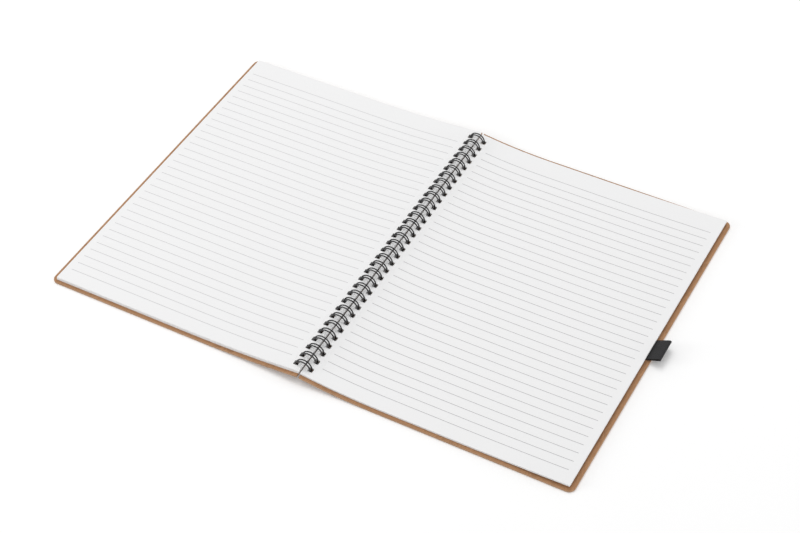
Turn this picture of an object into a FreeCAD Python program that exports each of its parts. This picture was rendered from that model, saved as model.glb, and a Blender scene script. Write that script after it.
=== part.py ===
import FreeCAD, Part
import math
import os

# A notebook of roughly A4 pages, lying open, bound along its spine by one twin-loop wire.
# Each half is built with X measured from the spine, Y along the spine and Z up from the floor.
# The origin is then put at the bottom centre of the whole object. Units are millimetres.
V = FreeCAD.Vector

# Sheets of paper and board
page_width = 205.5
page_height = 285.5
cover_fore_rim = 3.2
cover_end_rim = 2.55
cover_thickness = 1.5
cover_corner_radius = 5.0

# Binding wire: double loops at three to the inch, closed by a seam that faces the floor
loop_pitch = 25.4 / 3
loop_end_margin = 2.9
loop_row_shift = -0.7
ring_radius = 6.0
wire_diameter = 1.0
strand_spacing = 2.2
bridge_bend = 1.2
bridge_angle = 275.3
seam_gap = 0.65
wire_floor_gap = 0.04

# Holes punched along the spine side, and where they start inside the wire's centre line
hole_side_clearance = 0.4
hole_corner_radius = 0.6
page_hole_width = 4.0
cover_hole_width = 4.2
front_page_hole_inset = 2.4
front_cover_hole_inset = 3.2
back_page_hole_inset = 2.3
back_cover_hole_inset = 2.9

# Left half: the front cover and the leaves turned onto it, arching up to the wire
turned_stack_thickness = 2.8
front_arch_length = 90.0
front_edge_below_ring = 1.95
front_page_start = 0.0
front_cover_start = 0.3

# Right half: the back cover and the leaves still to be turned, lifted a little at the fore-edge
remaining_stack_thickness = 1.45
back_arch_length = 60.0
back_edge_below_ring = 2.1
back_page_start = 1.0
back_cover_start = 1.3
leaf_lift = 1.75
leaf_lift_length = 96.8

# Pen loop: an elastic band folded double, glued flat on the back cover, its fold bent upwards
band_thickness = 0.65
band_width = 20.0
band_centre_y = -4.0
band_tab_length = 10.5
band_glued_past_page = -0.3
band_free_length = 11.3
band_bend = 24.0
band_fold_gap = 0.9
band_slit_start = 1.5

cover_width = page_width + cover_fore_rim
cover_height = page_height + 2 * cover_end_rim
loop_count = int((page_height - 2 * loop_end_margin) / loop_pitch)
wire_radius = wire_diameter / 2
strand_offset = strand_spacing / 2
bridge_radius = math.hypot(ring_radius, bridge_bend)
ring_height = bridge_radius + wire_radius + wire_floor_gap
hole_length = strand_spacing + wire_diameter + 2 * hole_side_clearance


def loop_positions():
    first = loop_row_shift - (loop_count - 1) / 2 * loop_pitch
    return [first + i * loop_pitch for i in range(loop_count)]


def arch_edges(side, start, arch_length, rise, raised):
    """Curve from the spine down to where the sheet lies flat, tangent to the flat there."""
    radius = (arch_length ** 2 + rise ** 2) / (2 * rise)
    centre_z = radius + raised

    def on_arc(x):
        return V(side * x, 0, centre_z - math.sqrt(radius ** 2 - (arch_length - x) ** 2))

    middle = (start + arch_length) / 2
    return Part.Arc(on_arc(start), on_arc(middle), V(side * arch_length, 0, raised))


def sheet_section(side, start, end, arch_length, rise, bottom, thickness, lift=0.0, lift_length=0.0):
    """Section across the pages: an arch by the spine, a flat middle and a lifted fore-edge."""

    def surface(height):
        arch = arch_edges(side, start, arch_length, rise, height)
        lift_start = end - lift_length
        edges = [arch.toShape()]
        flat_end = V(side * lift_start, 0, height)
        edges.append(Part.LineSegment(V(side * arch_length, 0, height), flat_end).toShape())
        if lift > 0:
            radius = (lift_length ** 2 + lift ** 2) / (2 * lift)
            half = lift_length / 2
            halfway = V(side * (lift_start + half), 0, height + radius - math.sqrt(radius ** 2 - half ** 2))
            edges.append(Part.Arc(flat_end, halfway, V(side * end, 0, height + lift)).toShape())
        return edges

    lower = surface(bottom)
    upper = surface(bottom + thickness)
    spine_edge = Part.makeLine(lower[0].firstVertex().Point, upper[0].firstVertex().Point)
    fore_edge = Part.makeLine(V(side * end, 0, bottom + lift), V(side * end, 0, bottom + thickness + lift))
    outline = Part.Wire(Part.__sortEdges__(lower + upper + [spine_edge, fore_edge]))
    return Part.Face(outline)


def extrude_along_spine(face, length, centre_y=0.0):
    solid = face.extrude(V(0, length, 0))
    solid.translate(V(0, centre_y - length / 2, 0))
    return solid


def punch_holes(sheet, side, inset, width):
    """A row of square holes with eased corners, one for each loop of the wire."""
    start = ring_radius - inset
    box = sheet.BoundBox
    cutters = []
    for y in loop_positions():
        cutter = Part.makeBox(width, hole_length, box.ZLength + 2)
        corners = [edge for edge in cutter.Edges if edge.Length > box.ZLength]
        cutter = cutter.makeFillet(hole_corner_radius, corners)
        left = side * start if side > 0 else -start - width
        cutter.translate(V(left, y - hole_length / 2, box.ZMin - 1))
        cutters.append(cutter)
    return sheet.cut(Part.Compound(cutters))


def round_fore_corners(cover, side):
    """Round the two corners of a cover that are away from the spine."""
    reach = max(side * vertex.X for vertex in cover.Vertexes)
    corners = []
    for edge in cover.Edges:
        upright = abs(edge.tangentAt(edge.FirstParameter).z) > 0.99
        at_fore_edge = abs(side * edge.CenterOfMass.x - reach) < 0.01
        if upright and at_fore_edge:
            corners.append(edge)
    return cover.makeFillet(cover_corner_radius, corners)


def make_cover(side, start, arch_length, rise, hole_inset):
    section = sheet_section(side, start, start + cover_width, arch_length, rise, 0.0, cover_thickness)
    board = extrude_along_spine(section, cover_height)
    board = round_fore_corners(board, side)
    return punch_holes(board, side, hole_inset, cover_hole_width)


def make_leaves(side, start, arch_length, rise, thickness, hole_inset, lift=0.0, lift_length=0.0):
    section = sheet_section(side, start, start + page_width, arch_length, rise, cover_thickness,
                            thickness, lift, lift_length)
    stack = extrude_along_spine(section, page_height)
    return punch_holes(stack, side, hole_inset, page_hole_width)


def ring_point(angle, y, radius=ring_radius):
    turn = math.radians(angle)
    return V(radius * math.cos(turn), y, ring_height + radius * math.sin(turn))


def ring_tangent(angle):
    turn = math.radians(angle)
    return V(-math.sin(turn), 0, math.cos(turn))


def make_wire():
    """One continuous wire: each loop is a long hairpin bent round, its closed end at the seam."""
    bend_turn = math.degrees(math.atan(bridge_bend / ring_radius))
    strand_from = bridge_angle + bend_turn
    seam_turn = math.degrees((wire_diameter + seam_gap) / ring_radius)
    tip_angle = bridge_angle - seam_turn
    strand_to = tip_angle - math.degrees(math.atan(strand_offset / ring_radius))
    over_the_top = (strand_from + strand_to + 360) / 2
    eighth = math.sqrt(0.5)
    edges = []

    def bend(y_bridge, y_strand, entering):
        """Quarter turn between a bridge along the spine and a strand round the ring."""
        along = ring_tangent(strand_from)
        at_strand = ring_point(strand_from, y_strand)
        at_bridge = ring_point(strand_from, y_bridge) - along * bridge_bend
        centre = ring_point(strand_from, y_bridge)
        outward = V(0, y_strand - y_bridge, 0)
        middle = centre + outward * eighth - along * (bridge_bend * eighth)
        ends = (at_bridge, at_strand) if entering else (at_strand, at_bridge)
        edges.append(Part.Arc(ends[0], middle, ends[1]).toShape())
        return at_bridge

    last_bridge_end = None
    for y in loop_positions():
        near, far = y - strand_offset, y + strand_offset
        bridge_end = bend(near - bridge_bend, near, True)
        if last_bridge_end is not None:
            edges.insert(-1, Part.makeLine(last_bridge_end, bridge_end))
        edges.append(Part.Arc(ring_point(strand_from, near), ring_point(over_the_top, near),
                              ring_point(strand_to, near)).toShape())
        tip_middle = ring_point(strand_to, y) + ring_tangent(strand_to) * strand_offset
        edges.append(Part.Arc(ring_point(strand_to, near), tip_middle, ring_point(strand_to, far)).toShape())
        edges.append(Part.Arc(ring_point(strand_to, far), ring_point(over_the_top, far),
                              ring_point(strand_from, far)).toShape())
        last_bridge_end = bend(far + bridge_bend, far, False)

    path = Part.Wire(edges)
    start = edges[0].firstVertex().Point
    profile = Part.Wire(Part.makeCircle(wire_radius, start, V(0, 1, 0)))
    return path.makePipeShell([profile], True, False)


def tapered_band(length, root_radius, fold_radius):
    """Flat face lying in XZ: two straight sides that touch a small root circle and a fold circle."""
    lean = math.asin((fold_radius - root_radius) / length)
    root_top = V(-root_radius * math.sin(lean), 0, root_radius * math.cos(lean))
    fold_top = V(length - fold_radius * math.sin(lean), 0, fold_radius * math.cos(lean))
    root_low = V(root_top.x, 0, -root_top.z)
    fold_low = V(fold_top.x, 0, -fold_top.z)
    edges = [Part.makeLine(root_top, fold_top)]
    edges.append(Part.Arc(fold_top, V(length + fold_radius, 0, 0), fold_low).toShape())
    edges.append(Part.makeLine(fold_low, root_low))
    if root_radius > 0:
        edges.append(Part.Arc(root_low, V(-root_radius, 0, 0), root_top).toShape())
    return Part.Face(Part.Wire(edges))


def make_pen_loop():
    inner_radius = band_fold_gap / 2
    folded = tapered_band(band_free_length, band_thickness, inner_radius + band_thickness)
    slit = tapered_band(band_free_length - band_slit_start, 0.0, inner_radius)
    slit.translate(V(band_slit_start, 0, 0))
    free_part = folded.cut(slit)
    free_part.rotate(V(0, 0, 0), V(0, 1, 0), -band_bend)
    bend_x = back_page_start + page_width + band_glued_past_page
    free_part.translate(V(bend_x, 0, cover_thickness + band_thickness))
    free_solid = extrude_along_spine(free_part, band_width, band_centre_y)
    tab = Part.makeBox(band_tab_length, band_width, 2 * band_thickness)
    tab.translate(V(bend_x - band_tab_length, band_centre_y - band_width / 2, cover_thickness))
    return tab.fuse(free_solid).removeSplitter().Solids[0]


front_rise = ring_height - front_edge_below_ring
back_rise = ring_height - back_edge_below_ring
parts = {
    "wire_binding": make_wire(),
    "front_cover": make_cover(-1, front_cover_start, front_arch_length, front_rise,
                              front_cover_hole_inset),
    "turned_leaves": make_leaves(-1, front_page_start, front_arch_length, front_rise,
                                 turned_stack_thickness, front_page_hole_inset),
    "back_cover": make_cover(1, back_cover_start, back_arch_length, back_rise,
                             back_cover_hole_inset),
    "remaining_leaves": make_leaves(1, back_page_start, back_arch_length, back_rise,
                                    remaining_stack_thickness, back_page_hole_inset,
                                    leaf_lift, leaf_lift_length),
    "pen_loop": make_pen_loop(),
}

# Put the origin at the bottom centre of the whole object, and write one file a piece
box = Part.Compound(list(parts.values())).BoundBox
os.makedirs("parts", exist_ok=True)
for name, shape in parts.items():
    shape.translate(V(-box.Center.x, -box.Center.y, 0))
    shape.exportStep("parts/" + name + ".step")
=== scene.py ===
import math
import random

import bpy
from mathutils import Matrix, Vector


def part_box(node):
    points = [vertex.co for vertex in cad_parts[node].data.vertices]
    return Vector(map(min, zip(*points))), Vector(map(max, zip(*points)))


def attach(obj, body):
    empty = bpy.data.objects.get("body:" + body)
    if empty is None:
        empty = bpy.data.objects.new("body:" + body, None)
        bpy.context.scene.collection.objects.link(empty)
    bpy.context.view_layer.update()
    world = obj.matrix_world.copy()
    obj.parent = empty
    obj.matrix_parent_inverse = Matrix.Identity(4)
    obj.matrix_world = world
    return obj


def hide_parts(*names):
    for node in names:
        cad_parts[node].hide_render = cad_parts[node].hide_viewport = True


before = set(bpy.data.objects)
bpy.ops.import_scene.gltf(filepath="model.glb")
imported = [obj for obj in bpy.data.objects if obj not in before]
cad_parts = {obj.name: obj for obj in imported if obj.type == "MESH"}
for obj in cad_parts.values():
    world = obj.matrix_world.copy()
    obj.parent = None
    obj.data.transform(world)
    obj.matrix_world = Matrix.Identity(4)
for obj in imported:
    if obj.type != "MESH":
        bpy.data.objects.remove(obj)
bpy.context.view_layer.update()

# The place of the spine, the middle of the wire's loops and the surface the notebook lies on.
# All the pieces are set out from this line, as a binder does.
millimetre = 0.001
spine_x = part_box("turned_leaves")[1].x
loop_pitch = 25.4 / 3 * millimetre
loop_count = 33
loop_row_shift = -0.7 * millimetre
loop_places = [loop_row_shift + (i - (loop_count - 1) / 2) * loop_pitch for i in range(loop_count)]


# The binding wire is 1 mm steel wire in a black nylon coat, bent into a comb of long fingers.
# The comb is curled round through the holes until its fingertips meet its own spine: that seam
# lies underneath. Each finger is two strands that end in a round tip.
wire_radius = 0.5 * millimetre
ring_radius = 6.0 * millimetre
strand_offset = 1.1 * millimetre
bridge_bend = 1.2 * millimetre
wire_floor_gap = 0.04 * millimetre
seam_clearance = 1.65 * millimetre
bridge_angle = math.radians(275.3)
ring_height = math.hypot(ring_radius, bridge_bend) + wire_radius + wire_floor_gap
ring_centre = Vector((spine_x, 0, ring_height))
strand_start = bridge_angle + math.atan(bridge_bend / ring_radius)
strand_end = bridge_angle - seam_clearance / ring_radius - math.atan(strand_offset / ring_radius)
strand_turn = strand_end + math.tau - strand_start
along_spine = Vector((0, 1, 0))


def on_ring(angle, y):
    return ring_centre + Vector((math.cos(angle), 0, math.sin(angle))) * ring_radius + along_spine * y


def round_the_ring(angle):
    return Vector((-math.sin(angle), 0, math.cos(angle)))


def only_select(piece):
    bpy.ops.object.select_all(action="DESELECT")
    piece.select_set(True)
    bpy.context.view_layer.objects.active = piece


def finish_place(piece):
    only_select(piece)
    bpy.ops.object.transform_apply(location=True, rotation=True, scale=True)


def copy_of(piece, move):
    twin = piece.copy()
    twin.data = piece.data.copy()
    twin.data.transform(Matrix.Translation(move))
    bpy.context.scene.collection.objects.link(twin)
    twin.select_set(False)
    return twin


def join_all(pieces, name):
    bpy.ops.object.select_all(action="DESELECT")
    for piece in pieces:
        piece.select_set(True)
    bpy.context.view_layer.objects.active = pieces[0]
    if len(pieces) > 1:
        bpy.ops.object.join()
    joined = bpy.context.view_layer.objects.active
    joined.name = name
    joined.data.name = name
    return joined


start_along = round_the_ring(strand_start)
first_section = on_ring(strand_start, -strand_offset - bridge_bend) - start_along * bridge_bend
bpy.ops.mesh.primitive_circle_add(vertices=12, radius=wire_radius, location=first_section,
                                  rotation=(math.radians(90), 0, 0))
finger = bpy.context.object
finish_place(finger)
bpy.ops.object.mode_set(mode="EDIT")
bpy.ops.mesh.select_all(action="SELECT")
bend_axis = along_spine.cross(start_along)
bpy.ops.mesh.spin(steps=5, angle=-math.pi / 2, axis=bend_axis,
                  center=on_ring(strand_start, -strand_offset - bridge_bend))
bpy.ops.mesh.spin(steps=54, angle=strand_turn, axis=along_spine, center=ring_centre)
tip_axis = along_spine.cross(round_the_ring(strand_end))
bpy.ops.mesh.spin(steps=8, angle=math.pi, axis=tip_axis, center=on_ring(strand_end, 0))
bpy.ops.mesh.spin(steps=54, angle=-strand_turn, axis=along_spine, center=ring_centre)
bpy.ops.mesh.spin(steps=5, angle=-math.pi / 2, axis=bend_axis,
                  center=on_ring(strand_start, strand_offset + bridge_bend))
bpy.ops.object.mode_set(mode="OBJECT")
fingers = [copy_of(finger, along_spine * loop_places[-1])]
only_select(finger)
bpy.ops.object.mode_set(mode="EDIT")
bridge_length = loop_pitch - 2 * (strand_offset + bridge_bend)
bpy.ops.mesh.extrude_region_move(TRANSFORM_OT_translate={"value": along_spine * bridge_length})
bpy.ops.object.mode_set(mode="OBJECT")
fingers += [copy_of(finger, along_spine * y) for y in loop_places[:-1]]
bpy.data.objects.remove(finger)
binding = join_all(fingers, "binding_wire")
bpy.ops.object.mode_set(mode="EDIT")
bpy.ops.mesh.select_all(action="SELECT")
bpy.ops.mesh.remove_doubles(threshold=wire_radius / 50)
bpy.ops.mesh.fill_holes(sides=0)
bpy.ops.mesh.normals_make_consistent(inside=False)
bpy.ops.object.mode_set(mode="OBJECT")
bpy.ops.object.shade_smooth_by_angle(angle=math.radians(40))


def start_material(name, roughness):
    """An opaque finish, and the three nodes that every finish here needs."""
    material = bpy.data.materials.new(name)
    material.use_nodes = True
    nodes = material.node_tree.nodes
    shader = nodes["Principled BSDF"]
    shader.inputs["Roughness"].default_value = roughness
    place = nodes.new("ShaderNodeTexCoord")
    return material, shader, place


def add(material, kind, inputs=None, **settings):
    """One more node, with its settings, and its sockets filled from values or other nodes."""
    node = material.node_tree.nodes.new("ShaderNode" + kind)
    for name, value in settings.items():
        setattr(node, name, value)
    for socket, value in (inputs or {}).items():
        if isinstance(value, bpy.types.NodeSocket):
            material.node_tree.links.new(value, node.inputs[socket])
        else:
            node.inputs[socket].default_value = value
    return node


def calculate(material, operation, *values):
    node = add(material, "Math", {i: value for i, value in enumerate(values)}, operation=operation)
    return node.outputs[0]


def speckle(material, place, scale, detail=4.0, stretch=(1, 1, 1)):
    """Grain that is fixed to the piece, as wide as one part in scale of a metre."""
    spread = add(material, "Mapping", {"Vector": place.outputs["Object"], "Scale": stretch})
    grain = add(material, "TexNoise", {"Vector": spread.outputs[0], "Scale": scale, "Detail": detail,
                                       "Roughness": 0.6})
    return grain.outputs["Fac"]


def blend_colours(material, amount, first, second):
    node = add(material, "Mix", {0: amount, 6: first, 7: second}, data_type="RGBA")
    return node.outputs[2]


def ramp(material, value, low, high):
    node = add(material, "MapRange", {"Value": value, "From Min": low, "From Max": high},
               interpolation_type="SMOOTHSTEP")
    return node.outputs[0]


def raise_by(material, shader, height, distance, strength=1.0):
    bump = add(material, "Bump", {"Height": height, "Distance": distance, "Strength": strength})
    material.node_tree.links.new(bump.outputs[0], shader.inputs["Normal"])


nylon, shader, place = start_material("black_nylon_coat", 0.42)
grain = speckle(nylon, place, 9000)
nylon.node_tree.links.new(blend_colours(nylon, grain, (0.006, 0.006, 0.0065, 1), (0.014, 0.014, 0.015, 1)),
                          shader.inputs["Base Color"])
shader.inputs["Coat Weight"].default_value = 0.1
shader.inputs["Coat Roughness"].default_value = 0.2
raise_by(nylon, shader, grain, 0.00001, 0.4)
binding.data.materials.clear()
binding.data.materials.append(nylon)
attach(binding, "wire")
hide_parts("wire_binding")


# Each cover is a panel of thick brown board, cut to size with its fore corners rounded, punched
# with one square hole a loop and slightly arched where it climbs to the wire. The cut edges are
# painted paler than the faces, partly for the board's own layered plies and partly as painted
# light: lit cut edges beside face rims in shade. The knife has eased their arrises.
cover_thickness = 1.5 * millimetre
hole_half_length = 2.0 * millimetre
hole_corner = 0.6 * millimetre
cover_hole_width = 4.2 * millimetre
cover_corner = 5.0 * millimetre
front_arch_length = 90.0 * millimetre
back_arch_length = 60.0 * millimetre
front_cover_hole = 2.8 * millimetre
back_cover_hole = 3.1 * millimetre
eased_arris = 0.12 * millimetre
past_the_holes = 2.0 * millimetre
board_arch_steps = 12


def arch_radius(cover, start, arch_length):
    """Radius of the arch that brings the cover from the flat up to its edge at the wire."""
    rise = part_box(cover)[1].z - cover_thickness
    return ((arch_length - start) ** 2 + rise ** 2) / (2 * rise)


def arch_height(distance, arch_length, radius):
    if distance >= arch_length:
        return 0.0
    return radius - math.sqrt(radius ** 2 - (arch_length - distance) ** 2)


def select_only(piece, kind, wanted):
    """Opens the piece for editing with just the wanted faces or vertices selected."""
    only_select(piece)
    bpy.ops.object.mode_set(mode="EDIT")
    bpy.ops.mesh.select_mode(type=kind)
    bpy.ops.mesh.select_all(action="DESELECT")
    bpy.ops.object.mode_set(mode="OBJECT")
    for element in piece.data.polygons if kind == "FACE" else piece.data.vertices:
        element.select = wanted(element)
    bpy.ops.object.mode_set(mode="EDIT")


def punched_panel(side, columns, half_height, first_hole, hole_width):
    """A flat panel with a row of holes along the spine: a grid whose lines follow the holes."""
    columns = sorted(set(columns + [first_hole, first_hole + hole_width]))
    rows = [-half_height, half_height]
    for y in loop_places:
        rows += [y - hole_half_length, y + hole_half_length]
    rows.sort()
    bpy.ops.mesh.primitive_grid_add(x_subdivisions=len(columns) - 1, y_subdivisions=len(rows) - 1,
                                    size=1, location=(0, 0, 0))
    panel = bpy.context.object
    for vertex in panel.data.vertices:
        column = round((vertex.co.x + 0.5) * (len(columns) - 1))
        row = round((vertex.co.y + 0.5) * (len(rows) - 1))
        vertex.co.x = columns[column]
        vertex.co.y = rows[row]
    middle_of_holes = first_hole + hole_width / 2

    def in_hole(face):
        across = abs(face.center.x - middle_of_holes) < hole_width / 4
        return across and min(abs(face.center.y - y) for y in loop_places) < hole_half_length / 2

    def at_hole_corner(vertex):
        at_side = abs(abs(vertex.co.x - middle_of_holes) - hole_width / 2) < 1e-6
        return at_side and min(abs(abs(vertex.co.y - y) - hole_half_length) for y in loop_places) < 1e-6

    select_only(panel, "FACE", in_hole)
    bpy.ops.mesh.delete(type="FACE")
    bpy.ops.object.mode_set(mode="OBJECT")
    select_only(panel, "VERT", at_hole_corner)
    bpy.ops.mesh.bevel(offset=hole_corner, segments=2, affect="VERTICES")
    bpy.ops.object.mode_set(mode="OBJECT")
    if side < 0:
        panel.data.transform(Matrix.Scale(-1, 4, (1, 0, 0)))
        panel.data.flip_normals()
    return panel


def round_fore_corners(panel, reach, half_height, radius):
    select_only(panel, "VERT", lambda vertex: abs(vertex.co.x) > reach - 1e-6
                and abs(vertex.co.y) > half_height - 1e-6)
    bpy.ops.mesh.bevel(offset=radius, segments=8, affect="VERTICES")
    bpy.ops.object.mode_set(mode="OBJECT")


def give_thickness(panel, thickness, arris=0.0, offset=1.0):
    only_select(panel)
    wall = panel.modifiers.new("thickness", "SOLIDIFY")
    wall.thickness = thickness
    wall.offset = offset
    bpy.ops.object.modifier_apply(modifier=wall.name)
    if arris > 0:
        ease = panel.modifiers.new("arris", "BEVEL")
        ease.width = arris
        ease.segments = 2
        ease.limit_method = "ANGLE"
        ease.angle_limit = math.radians(50)
        bpy.ops.object.modifier_apply(modifier=ease.name)


def spaced(low, high, count):
    return [low + (high - low) * i / count for i in range(count + 1)]


def make_cover(name, node, side, arch_length, first_hole):
    low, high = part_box(node)
    start = side * ((low.x if side > 0 else high.x) - spine_x)
    reach = side * ((high.x if side > 0 else low.x) - spine_x)
    radius = arch_radius(node, start, arch_length)
    columns = [start] + spaced(first_hole + cover_hole_width + past_the_holes, arch_length,
                               board_arch_steps)
    columns += [reach - cover_corner * 1.5, reach]
    panel = punched_panel(side, columns, high.y, first_hole, cover_hole_width)
    round_fore_corners(panel, reach, high.y, cover_corner)
    give_thickness(panel, cover_thickness, eased_arris)
    for vertex in panel.data.vertices:
        vertex.co.z += arch_height(abs(vertex.co.x), arch_length, radius)
        vertex.co.x += spine_x
    only_select(panel)
    bpy.ops.object.shade_smooth_by_angle(angle=math.radians(30))
    panel.name = name
    panel.data.name = name
    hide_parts(node)
    return panel, radius


front_board, front_radius = make_cover("front_board", "front_cover", -1, front_arch_length,
                                       front_cover_hole)
back_board, back_radius = make_cover("back_board", "back_cover", 1, back_arch_length, back_cover_hole)
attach(front_board, "front_half")
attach(back_board, "back_half")

board, shader, place = start_material("brown_board", 0.82)
facing = add(board, "SeparateXYZ", {0: place.outputs["Normal"]})
on_face = ramp(board, calculate(board, "ABSOLUTE", facing.outputs["Z"]), 0.35, 0.75)
fibres = speckle(board, place, 900, 6.0, (1, 0.25, 1))
flecks = speckle(board, place, 420, 3.0)
mottle = speckle(board, place, 45, 2.0)
plies = speckle(board, place, 500, 2.0, (0.05, 0.05, 6))
face_colour = blend_colours(board, ramp(board, fibres, 0.3, 0.7), (0.30, 0.150, 0.067, 1),
                            (0.45, 0.240, 0.118, 1))
face_colour = blend_colours(board, ramp(board, flecks, 0.64, 0.80), face_colour, (0.27, 0.135, 0.062, 1))
face_colour = blend_colours(board, ramp(board, mottle, 0.3, 0.75), face_colour, (0.39, 0.20, 0.094, 1))
# The edge colour is paler than the face colour, partly for the board's plies and partly as painted light
# on lit cut edges.
plies_and_painted_light_edge_colour = blend_colours(board, ramp(board, plies, 0.35, 0.65), (0.37, 0.215, 0.122, 1),
                            (0.50, 0.305, 0.180, 1))
# Faces pointing up or down take the face colour, and the sides take the paler edge colour, which is partly
# painted light.
board.node_tree.links.new(blend_colours(board, on_face, plies_and_painted_light_edge_colour, face_colour),
                          shader.inputs["Base Color"])
raise_by(board, shader, calculate(board, "ADD", fibres, calculate(board, "MULTIPLY", plies, 0.5)),
         0.00004, 0.35)
for panel in (front_board, back_board):
    panel.data.materials.clear()
    panel.data.materials.append(board)


# The leaves are sheets of smooth white writing paper, ruled on both sides in pale grey, punched
# with the same row of holes and hung loose on the wire. The sheets lie a hair's breadth out of
# line with each other, as they do once a few have been turned.
paper_thickness = 0.1 * millimetre
page_hole_width = 4.0 * millimetre
front_page_hole = 3.6 * millimetre
back_page_hole = 3.7 * millimetre
leaf_lift = 1.75 * millimetre
leaf_lift_length = 96.8 * millimetre
sheet_gap = 0.006 * millimetre
slip_across = 0.05
slip_along = 0.06
leaf_arch_steps = 4
lift_steps = 6

# A turned stack leans with the wire it hangs on: its sheets take this share of the wire's curve,
# and the whole stack stands off from the spine a little, so that no sheet touches the wire.
ring_follow = 0.6
hang_clear = 0.1 * millimetre


def follow_ring(height):
    """How far from the spine the wire passes through a sheet at this height."""
    return math.sqrt(ring_radius ** 2 - (height - ring_height) ** 2)


def make_leaves(name, node, side, arch_length, arch, first_hole, lift, seed):
    low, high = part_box(node)
    start = side * ((low.x if side > 0 else high.x) - spine_x)
    reach = side * ((high.x if side > 0 else low.x) - spine_x)
    stack_thickness = high.z - cover_thickness - arch_height(start, arch_length, arch)
    sheet_count = round(stack_thickness / paper_thickness)
    columns = [start] + spaced(first_hole + page_hole_width + past_the_holes, arch_length, leaf_arch_steps)
    lift_start = reach - leaf_lift_length
    columns += spaced(lift_start, reach, lift_steps) if lift > 0 else [reach]
    first_sheet = punched_panel(side, columns, high.y, first_hole, page_hole_width)
    give_thickness(first_sheet, stack_thickness / sheet_count - sheet_gap)
    lift_radius = (leaf_lift_length ** 2 + lift ** 2) / (2 * lift) if lift > 0 else 0
    for vertex in first_sheet.data.vertices:
        distance = abs(vertex.co.x)
        vertex.co.z += cover_thickness + arch_height(distance, arch_length, arch)
        if lift > 0 and distance > lift_start:
            past = distance - lift_start
            vertex.co.z += lift_radius - math.sqrt(lift_radius ** 2 - past ** 2)
        vertex.co.x += spine_x
    lowest = high.z - stack_thickness
    shuffle = random.Random(seed)
    sheets = []
    for i in range(sheet_count):
        slip = Vector((shuffle.uniform(-slip_across, slip_across),
                       shuffle.uniform(-slip_along, slip_along), 0)) * millimetre
        level = Vector((0, 0, i * stack_thickness / sheet_count))
        towards_spine = (follow_ring(lowest) - follow_ring(lowest + level.z)) * ring_follow
        slip.x += side * (hang_clear - towards_spine)
        sheets.append(copy_of(first_sheet, slip + level))
    bpy.data.objects.remove(first_sheet)
    stack = join_all(sheets, name)
    bpy.ops.object.shade_smooth_by_angle(angle=math.radians(30))
    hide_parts(node)
    return stack


left_sheets = make_leaves("turned_sheets", "turned_leaves", -1, front_arch_length, front_radius,
                          front_page_hole, 0, 11)
right_sheets = make_leaves("remaining_sheets", "remaining_leaves", 1, back_arch_length, back_radius,
                           back_page_hole, leaf_lift, 12)
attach(left_sheets, "front_half")
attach(right_sheets, "back_half")

line_count = 33
line_pitch = 8.0 * millimetre
first_line_y = 125.1 * millimetre
line_half_width = 0.22 * millimetre
line_from = 12.3 * millimetre
line_to = 200.4 * millimetre
left_print_strength = 2.6 / 3.6

paper, shader, place = start_material("ruled_paper", 0.9)
where = add(paper, "SeparateXYZ", {0: place.outputs["Object"]})
facing = add(paper, "SeparateXYZ", {0: place.outputs["Normal"]})
on_face = calculate(paper, "GREATER_THAN", calculate(paper, "ABSOLUTE", facing.outputs["Z"]), 0.6)
lines_down = calculate(paper, "DIVIDE", calculate(paper, "SUBTRACT", first_line_y, where.outputs["Y"]),
                       line_pitch)
off_line = calculate(paper, "MULTIPLY", calculate(paper, "PINGPONG", lines_down, 0.5), line_pitch)
ink = ramp(paper, off_line, line_half_width * 1.3, line_half_width * 0.7)
from_spine = calculate(paper, "ABSOLUTE", calculate(paper, "SUBTRACT", where.outputs["X"], spine_x))
limits = (calculate(paper, "GREATER_THAN", lines_down, -0.5),
          calculate(paper, "LESS_THAN", lines_down, line_count - 0.5),
          calculate(paper, "GREATER_THAN", from_spine, line_from),
          calculate(paper, "LESS_THAN", from_spine, line_to), on_face)
for limit in limits:
    ink = calculate(paper, "MULTIPLY", ink, limit)
tooth = speckle(paper, place, 2600, 5.0)
cloud = speckle(paper, place, 60, 3.0)
white = blend_colours(paper, tooth, (0.845, 0.845, 0.85, 1), (0.875, 0.875, 0.878, 1))
white = blend_colours(paper, calculate(paper, "MULTIPLY", cloud, 0.35), white, (0.85, 0.845, 0.84, 1))
on_right_page = calculate(paper, "GREATER_THAN", where.outputs["X"], spine_x)
print_strength = calculate(paper, "MAXIMUM", on_right_page, left_print_strength)
ink = calculate(paper, "MULTIPLY", ink, print_strength)
ink_grain = calculate(paper, "MULTIPLY", ink, ramp(paper, tooth, 0.1, 0.5))
paper.node_tree.links.new(blend_colours(paper, ink_grain, white, (0.36, 0.36, 0.37, 1)),
                          shader.inputs["Base Color"])
raise_by(paper, shader, tooth, 0.00002, 0.35)
for stack in (left_sheets, right_sheets):
    stack.data.materials.clear()
    stack.data.materials.append(paper)


# The pen loop is a strip of black ribbed elastic, folded double. Its two ends are glued as a tab
# to the inside of the back cover, under the leaves, and its fold sticks out and points upwards.
band_thickness = 0.65 * millimetre
band_width = 20.0 * millimetre
band_centre_y = -4.0 * millimetre
band_tab_length = 10.5 * millimetre
band_free_length = 11.3 * millimetre
band_bend = math.radians(24)
band_fold_gap = 0.9 * millimetre
rib_count = 26
rib_height = 0.045 * millimetre
pick_spacing = 0.7 * millimetre

band_start_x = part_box("pen_loop")[0].x
bend_place = Vector((band_start_x + band_tab_length, band_centre_y, cover_thickness + band_thickness))
outwards = Vector((math.cos(band_bend), 0, math.sin(band_bend)))
upwards = Vector((-math.sin(band_bend), 0, math.cos(band_bend)))
fold_centre = bend_place + outwards * band_free_length
fold_reach = band_fold_gap / 2 + band_thickness / 2
half_band = band_thickness / 2
tab_drop = Vector((band_tab_length, 0, half_band))
easing = 0.9 * millimetre

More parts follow.
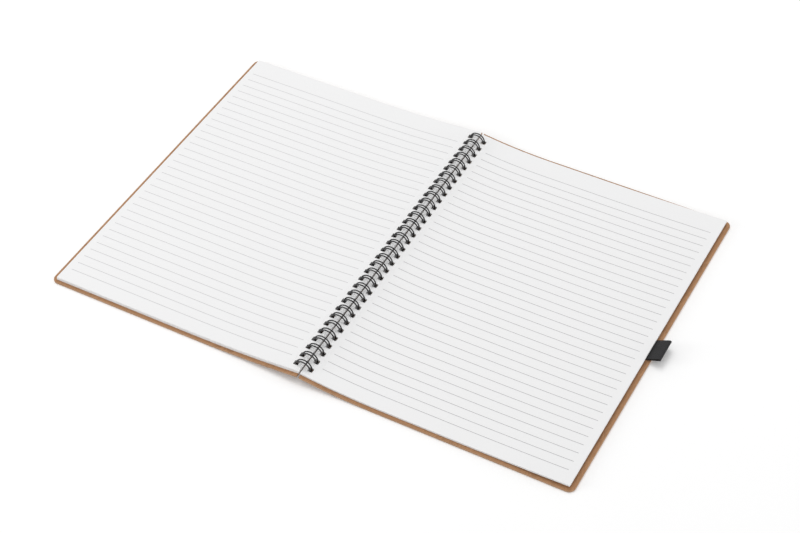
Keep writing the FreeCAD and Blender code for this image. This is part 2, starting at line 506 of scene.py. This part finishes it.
bpy.ops.mesh.primitive_grid_add(x_subdivisions=1, y_subdivisions=rib_count * 4, size=1)
band = bpy.context.object
band.data.transform(Matrix.Diagonal((0.0001, band_width, 1, 1)))
band.data.transform(Matrix.Translation(bend_place - tab_drop))
select_only(band, "VERT", lambda vertex: vertex.co.x > (bend_place - tab_drop).x)
here = bend_place - tab_drop
lower_run = [bend_place + Vector((-easing, 0, -half_band)),
             bend_place + outwards * easing - upwards * half_band,
             bend_place + outwards * band_free_length * 0.5 - upwards * (half_band + fold_reach) / 2,
             fold_centre - upwards * fold_reach]
upper_run = [bend_place + outwards * band_free_length * 0.5 + upwards * (half_band + fold_reach) / 2,
             bend_place + outwards * easing + upwards * half_band,
             bend_place + Vector((-easing, 0, half_band)),
             bend_place + Vector((-band_tab_length, 0, half_band))]
for stop in lower_run:
    bpy.ops.mesh.extrude_region_move(TRANSFORM_OT_translate={"value": stop - here})
    here = stop
bpy.ops.mesh.spin(steps=10, angle=math.pi, axis=along_spine, center=fold_centre)
here = fold_centre + upwards * fold_reach
for stop in upper_run:
    bpy.ops.mesh.extrude_region_move(TRANSFORM_OT_translate={"value": stop - here})
    here = stop
bpy.ops.object.mode_set(mode="OBJECT")
band.name = "elastic_pen_loop"
band.data.name = "elastic_pen_loop"
give_thickness(band, band_thickness * 0.92, offset=0.0)
for vertex in band.data.vertices:
    across = (vertex.co.y - band_centre_y) / band_width * rib_count * math.tau
    vertex.co.z += math.cos(across) * rib_height
only_select(band)
bpy.ops.object.shade_smooth_by_angle(angle=math.radians(50))
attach(band, "back_half")
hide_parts("pen_loop")

elastic, shader, place = start_material("black_elastic", 0.8)
shader.inputs["Sheen Weight"].default_value = 0.12
shader.inputs["Sheen Roughness"].default_value = 0.4
where = add(elastic, "SeparateXYZ", {0: place.outputs["Object"]})
rib_wave = calculate(elastic, "SINE", calculate(elastic, "MULTIPLY", where.outputs["Y"],
                                                math.tau * rib_count / band_width))
pick_wave = calculate(elastic, "SINE", calculate(elastic, "MULTIPLY", where.outputs["X"],
                                                 math.tau / pick_spacing))
weave = calculate(elastic, "MULTIPLY", rib_wave, pick_wave)
fuzz = speckle(elastic, place, 5000, 4.0)
weave_height = calculate(elastic, "ADD", weave, fuzz)
elastic.node_tree.links.new(blend_colours(elastic, ramp(elastic, weave_height, -0.6, 1.6),
                                          (0.004, 0.004, 0.0045, 1), (0.017, 0.0165, 0.018, 1)),
                            shader.inputs["Base Color"])
raise_by(elastic, shader, weave_height, 0.00008, 0.7)
band.data.materials.clear()
band.data.materials.append(elastic)


# The studio: a plain white floor with a white surround, an even white sky and three soft lamps,
# a large one behind to the left and two small low ones, so that a colour shows about as it is
# written.
floor_size = 3.2
floor_glow = 0.08
sky_strength = 0.65
bpy.ops.object.select_all(action="DESELECT")
bpy.ops.mesh.primitive_plane_add(size=floor_size, location=(0, 0, 0))
floor = bpy.context.object
floor.name = "floor"
floor_white = bpy.data.materials.new("floor_white")
floor_white.use_nodes = True
floor_nodes = floor_white.node_tree.nodes
floor_nodes.remove(floor_nodes["Principled BSDF"])
matt = add(floor_white, "BsdfDiffuse", {"Color": (0.93, 0.93, 0.93, 1)})
rays = add(floor_white, "LightPath")
seen = calculate(floor_white, "MAXIMUM", rays.outputs["Is Camera Ray"], rays.outputs["Is Glossy Ray"])
lift = add(floor_white, "Emission", {"Color": (1, 1, 1, 1), "Strength": calculate(
    floor_white, "MULTIPLY", seen, floor_glow)})
both = add(floor_white, "AddShader", {0: matt.outputs[0], 1: lift.outputs[0]})
floor_white.node_tree.links.new(both.outputs[0], floor_nodes["Material Output"].inputs["Surface"])
floor.data.materials.append(floor_white)

world = bpy.data.worlds.new("white_surround")
world.use_nodes = True
bpy.context.scene.world = world
sky_nodes = world.node_tree.nodes
sky_links = world.node_tree.links
sky = sky_nodes["Background"]
sky.inputs["Color"].default_value = (1, 1, 1, 1)
sky.inputs["Strength"].default_value = sky_strength
backdrop = sky_nodes.new("ShaderNodeBackground")
backdrop.inputs["Color"].default_value = (1, 1, 1, 1)
backdrop.inputs["Strength"].default_value = 1.0
sky_rays = sky_nodes.new("ShaderNodeLightPath")
either = sky_nodes.new("ShaderNodeMixShader")
sky_links.new(sky_rays.outputs["Is Camera Ray"], either.inputs[0])
sky_links.new(sky.outputs[0], either.inputs[1])
sky_links.new(backdrop.outputs[0], either.inputs[2])
sky_links.new(either.outputs[0], sky_nodes["World Output"].inputs["Surface"])


def soft_lamp(name, place, size, watts):
    bpy.ops.object.light_add(type="AREA", location=place)
    lamp = bpy.context.object
    lamp.name = name
    lamp.data.shape = "SQUARE"
    lamp.data.size = size
    lamp.data.energy = watts
    lamp.rotation_mode = "QUATERNION"
    lamp.rotation_quaternion = (-Vector(place)).to_track_quat("-Z", "Y")


soft_lamp("key_lamp", place=(-0.7, 0.7, 2.2), size=1.5, watts=20)
soft_lamp("fill_lamp", place=(-1.1, -1.0, 0.5), size=0.6, watts=5)
soft_lamp("edge_lamp", place=(1.5, 0.4, 0.22), size=0.4, watts=5)

# The camera stands to the right of the near end of the spine, looking down at half a right angle.
view_azimuth = math.radians(28.324)
view_elevation = math.radians(45.081)
view_roll = math.radians(-0.25)
camera_place = Vector((0.46476, -0.86401, 0.97111))
looking = Vector((-math.cos(view_elevation) * math.sin(view_azimuth),
                  math.cos(view_elevation) * math.cos(view_azimuth), -math.sin(view_elevation)))
level_right = looking.cross(Vector((0, 0, 1))).normalized()
level_up = level_right.cross(looking)
right = level_right * math.cos(view_roll) + level_up * math.sin(view_roll)
up = right.cross(looking)
turned = Matrix((right, up, -looking)).transposed()
bpy.ops.object.camera_add(location=camera_place)
camera = bpy.context.object
camera.rotation_mode = "QUATERNION"
camera.rotation_quaternion = turned.to_quaternion()
camera.data.sensor_width = 36.0
camera.data.lens = 83.455
camera.data.clip_end = 20.0
bpy.context.scene.camera = camera
bpy.context.scene.view_settings.view_transform = "Standard"
